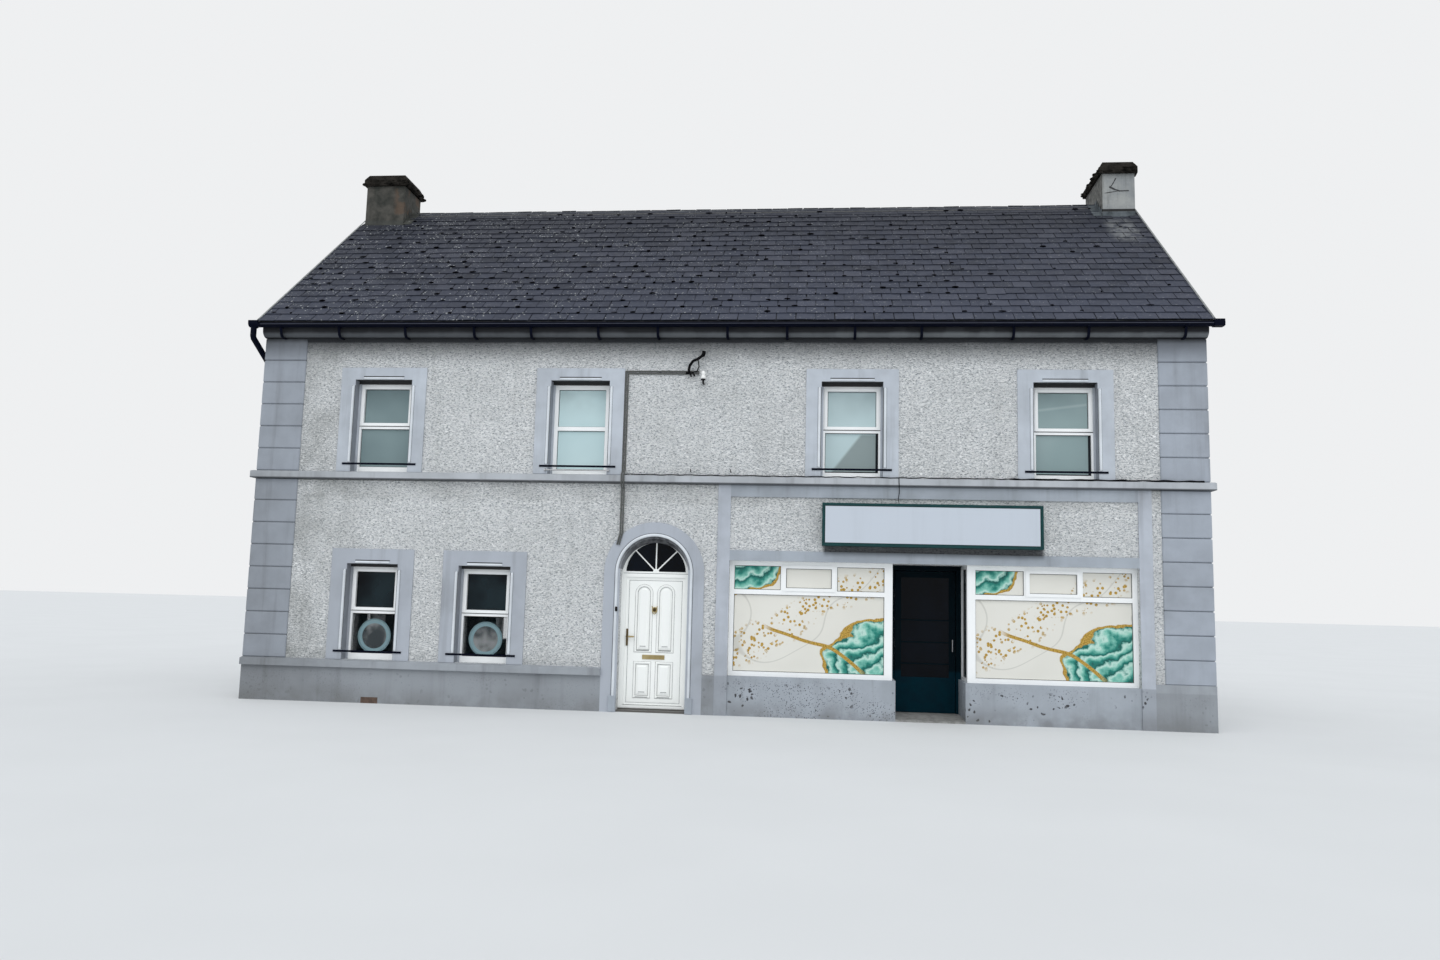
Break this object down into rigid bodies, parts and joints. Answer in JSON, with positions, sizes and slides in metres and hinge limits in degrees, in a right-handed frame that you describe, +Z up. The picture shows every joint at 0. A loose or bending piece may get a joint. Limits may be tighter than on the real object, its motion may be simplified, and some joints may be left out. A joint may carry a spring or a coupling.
{
  "type": "corner shop building",
  "caption": "Two-storey rendered corner shop with a slate gable roof, end chimneys, an arched house door and a shop front that open.",
  "frame": {"origin": "centre of the footprint on the underside of the ground floor, level with the foot of the walls", "axes": "+X along the street front to the right, +Y into the house from the street, +Z up"},
  "size_m": [14.66, 7.732, 9.669],
  "materials": {
    "roughcast": "matte",
    "smooth_plaster": "matte",
    "concrete": "matte",
    "slate": "matte",
    "old_render": "matte",
    "timber": "matte",
    "white_frame": "satin",
    "black_rainwater": "satin",
    "window_pane": "gloss",
    "blind_cloth": "matte",
    "round_mirror": "gloss",
    "black_iron": "satin",
    "green_paint": "satin",
    "brass": "satin",
    "steel": "satin",
    "lead_sheet": "matte",
    "grey_pipe": "matte",
    "terracotta": "matte"
  },
  "bodies": {
    "building": {"ground_floor": "concrete", "first_floor": "timber", "front_wall_left": "roughcast", "door_arch_wall": "roughcast", "front_wall_pier": "roughcast", "shop_lintel_wall": "roughcast", "stall_risers": "smooth_plaster", "front_wall_right": "roughcast", "front_wall_upper": "roughcast", "back_wall": "roughcast", "left_gable_wall": "roughcast", "right_gable_wall": "roughcast", "front_plinth": "smooth_plaster", "side_plinths": "smooth_plaster", "back_plinth": "smooth_plaster", "string_course_front": "smooth_plaster", "string_course_sides": "smooth_plaster", "string_course_back": "smooth_plaster", "corner_quoins": "smooth_plaster", "window_surrounds": "smooth_plaster", "door_surround": "smooth_plaster", "shop_pilasters": "smooth_plaster", "shop_fascia_bands": "smooth_plaster", "eaves_courses": "smooth_plaster", "gutters": "black_rainwater", "gutter_brackets": "black_iron", "downpipes": "black_rainwater", "roof_slope_front": "slate", "roof_slope_back": "slate", "ridge_tiles": "slate", "chimney_stacks": "old_render", "chimney_caps": "concrete", "chimney_flashings": "lead_sheet", "window_frames": "white_frame", "window_glass": "window_pane", "window_blinds": "blind_cloth", "window_boards": "white_frame", "window_mirrors": "round_mirror", "window_guard_bars": "black_iron", "shop_window_frames": "white_frame", "shop_window_glass": "window_pane", "shop_doorway_cheeks": "white_frame", "doorway_side_glass": "window_pane", "recess_soffit": "timber", "sign_box": "green_paint", "house_door_frame": "white_frame", "fanlight_glass": "window_pane", "door_thresholds": "concrete", "shop_door_frame": "green_paint", "wall_conduit": "grey_pipe", "air_vent": "terracotta", "door_hinges": "steel"},
    "house_door": {"house_door": "white_frame", "house_door_furniture": "brass", "house_door_flaps": "steel"},
    "shop_door": {"shop_door": "green_paint", "shop_door_glass": "window_pane", "shop_door_handle": "steel", "shop_door_flaps": "steel"}
  },
  "joints": [
    {"name": "house_door_swing", "type": "hinge", "parent": "building", "child": "house_door", "pos_m": [-0.379, -3.36, 1.04], "axis": [0, 0, -1], "range_deg": [0, 90]},
    {"name": "shop_door_swing", "type": "hinge", "parent": "building", "child": "shop_door", "pos_m": [2.759, -2.74, 1.1], "axis": [0, 0, 1], "range_deg": [0, 90]}
  ]
}
